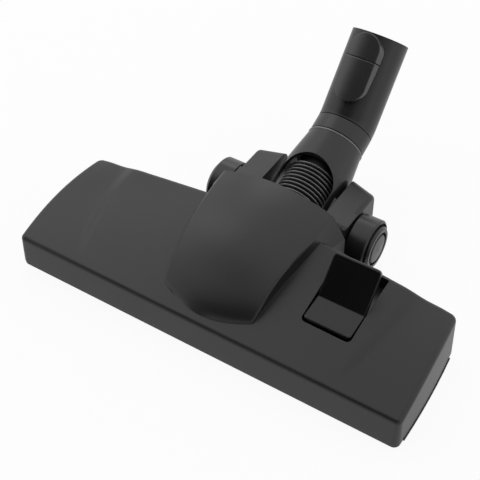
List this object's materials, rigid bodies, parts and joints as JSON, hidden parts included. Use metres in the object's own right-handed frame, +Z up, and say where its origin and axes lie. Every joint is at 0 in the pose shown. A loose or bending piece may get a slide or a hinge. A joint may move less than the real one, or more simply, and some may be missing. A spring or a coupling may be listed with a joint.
{
  "type": "vacuum floor brush head",
  "caption": "Wide vacuum floor head with a foot pedal that lowers bristle rows, rear wheels, a tilting ribbed-hose neck and a swivelling wand socket with a latch.",
  "frame": {"origin": "middle of the head on the underside of the sole plate", "axes": "+X along the head to the user's right, +Y back towards the wand, +Z up"},
  "size_m": [0.279, 0.2456, 0.1094],
  "materials": {
    "cover_plastic": "fine-grained moulded plastic, satin",
    "chassis_plastic": "plain moulded plastic",
    "neck_plastic": "smooth moulded plastic, satin",
    "wheel_plastic": "moulded plastic, satin",
    "hose_rubber": "flexible ribbed hose, satin",
    "bearing_plastic": "slippery bearing plastic",
    "sole_steel": "rolled stainless sheet",
    "pin_steel": "turned steel",
    "spring_steel": "blued spring leaf",
    "bristle": "black nylon tufts",
    "lint_fabric": "short directional pile"
  },
  "bodies": {
    "head": {"top_cover": "cover_plastic", "chassis": "chassis_plastic", "air_duct": "chassis_plastic", "sole_plate": "sole_steel", "sole_screws": "pin_steel", "front_lint_strip": "lint_fabric", "rear_lint_strip": "lint_fabric", "left_shoulder": "cover_plastic", "right_shoulder": "cover_plastic", "left_axle_pin": "pin_steel", "right_axle_pin": "pin_steel", "pedal_pin": "pin_steel", "hose_clamp": "bearing_plastic", "left_lift_spring": "spring_steel", "right_lift_spring": "spring_steel"},
    "neck": {"neck_fork": "neck_plastic", "left_fork_bush": "bearing_plastic", "right_fork_bush": "bearing_plastic", "bellows_hose": "hose_rubber", "hose_cuff": "bearing_plastic"},
    "elbow": {"elbow_tube": "neck_plastic", "swivel_ring": "neck_plastic", "latch_cover": "neck_plastic", "latch_spring": "spring_steel"},
    "latch": {"latch_button": "neck_plastic"},
    "foot_pedal": {"pedal": "cover_plastic"},
    "brush": {"brush_frame": "chassis_plastic", "front_bristles": "bristle", "rear_bristles": "bristle"},
    "left_wheel_set": {"left_wheel": "wheel_plastic", "left_hub_cap": "wheel_plastic"},
    "right_wheel_set": {"right_wheel": "wheel_plastic", "right_hub_cap": "wheel_plastic"}
  },
  "joints": [
    {"name": "neck_pitch", "type": "hinge", "parent": "head", "child": "neck", "pos_m": [0, 0.078, 0.0187], "axis": [1, 0, 0], "range_deg": [-12, 47], "deforming": ["bellows_hose"]},
    {"name": "elbow_swivel", "type": "hinge", "parent": "neck", "child": "elbow", "pos_m": [0, 0.13165, 0.04125], "axis": [0, 0.9219, 0.3875], "range_deg": [-90, 90]},
    {"name": "latch_press", "type": "hinge", "parent": "elbow", "child": "latch", "pos_m": [0, 0.16001, 0.08936], "axis": [1, 0, 0], "range_deg": [0, 5], "stiffness_Nm_per_rad": 0.3, "springref_deg": -5.73, "deforming": ["latch_spring"]},
    {"name": "pedal_rock", "type": "hinge", "parent": "head", "child": "foot_pedal", "pos_m": [0.0727, 0.0085, 0.027], "axis": [1, 0, 0], "range_deg": [0, 12]},
    {"name": "brush_lift", "type": "slide", "parent": "head", "child": "brush", "axis": [0, 0, 1], "range_m": [-0.0066, 0], "deforming": ["left_lift_spring", "right_lift_spring"]},
    {"name": "left_wheel_spin", "type": "hinge", "parent": "head", "child": "left_wheel_set", "pos_m": [-0.0527, 0.078, 0.0187], "axis": [1, 0, 0], "continuous": true},
    {"name": "right_wheel_spin", "type": "hinge", "parent": "head", "child": "right_wheel_set", "pos_m": [0.0527, 0.078, 0.0187], "axis": [1, 0, 0], "continuous": true}
  ],
  "couplings": [
    {"joint": "brush_lift", "follows": "pedal_rock", "m_per_rad": -0.0315}
  ]
}
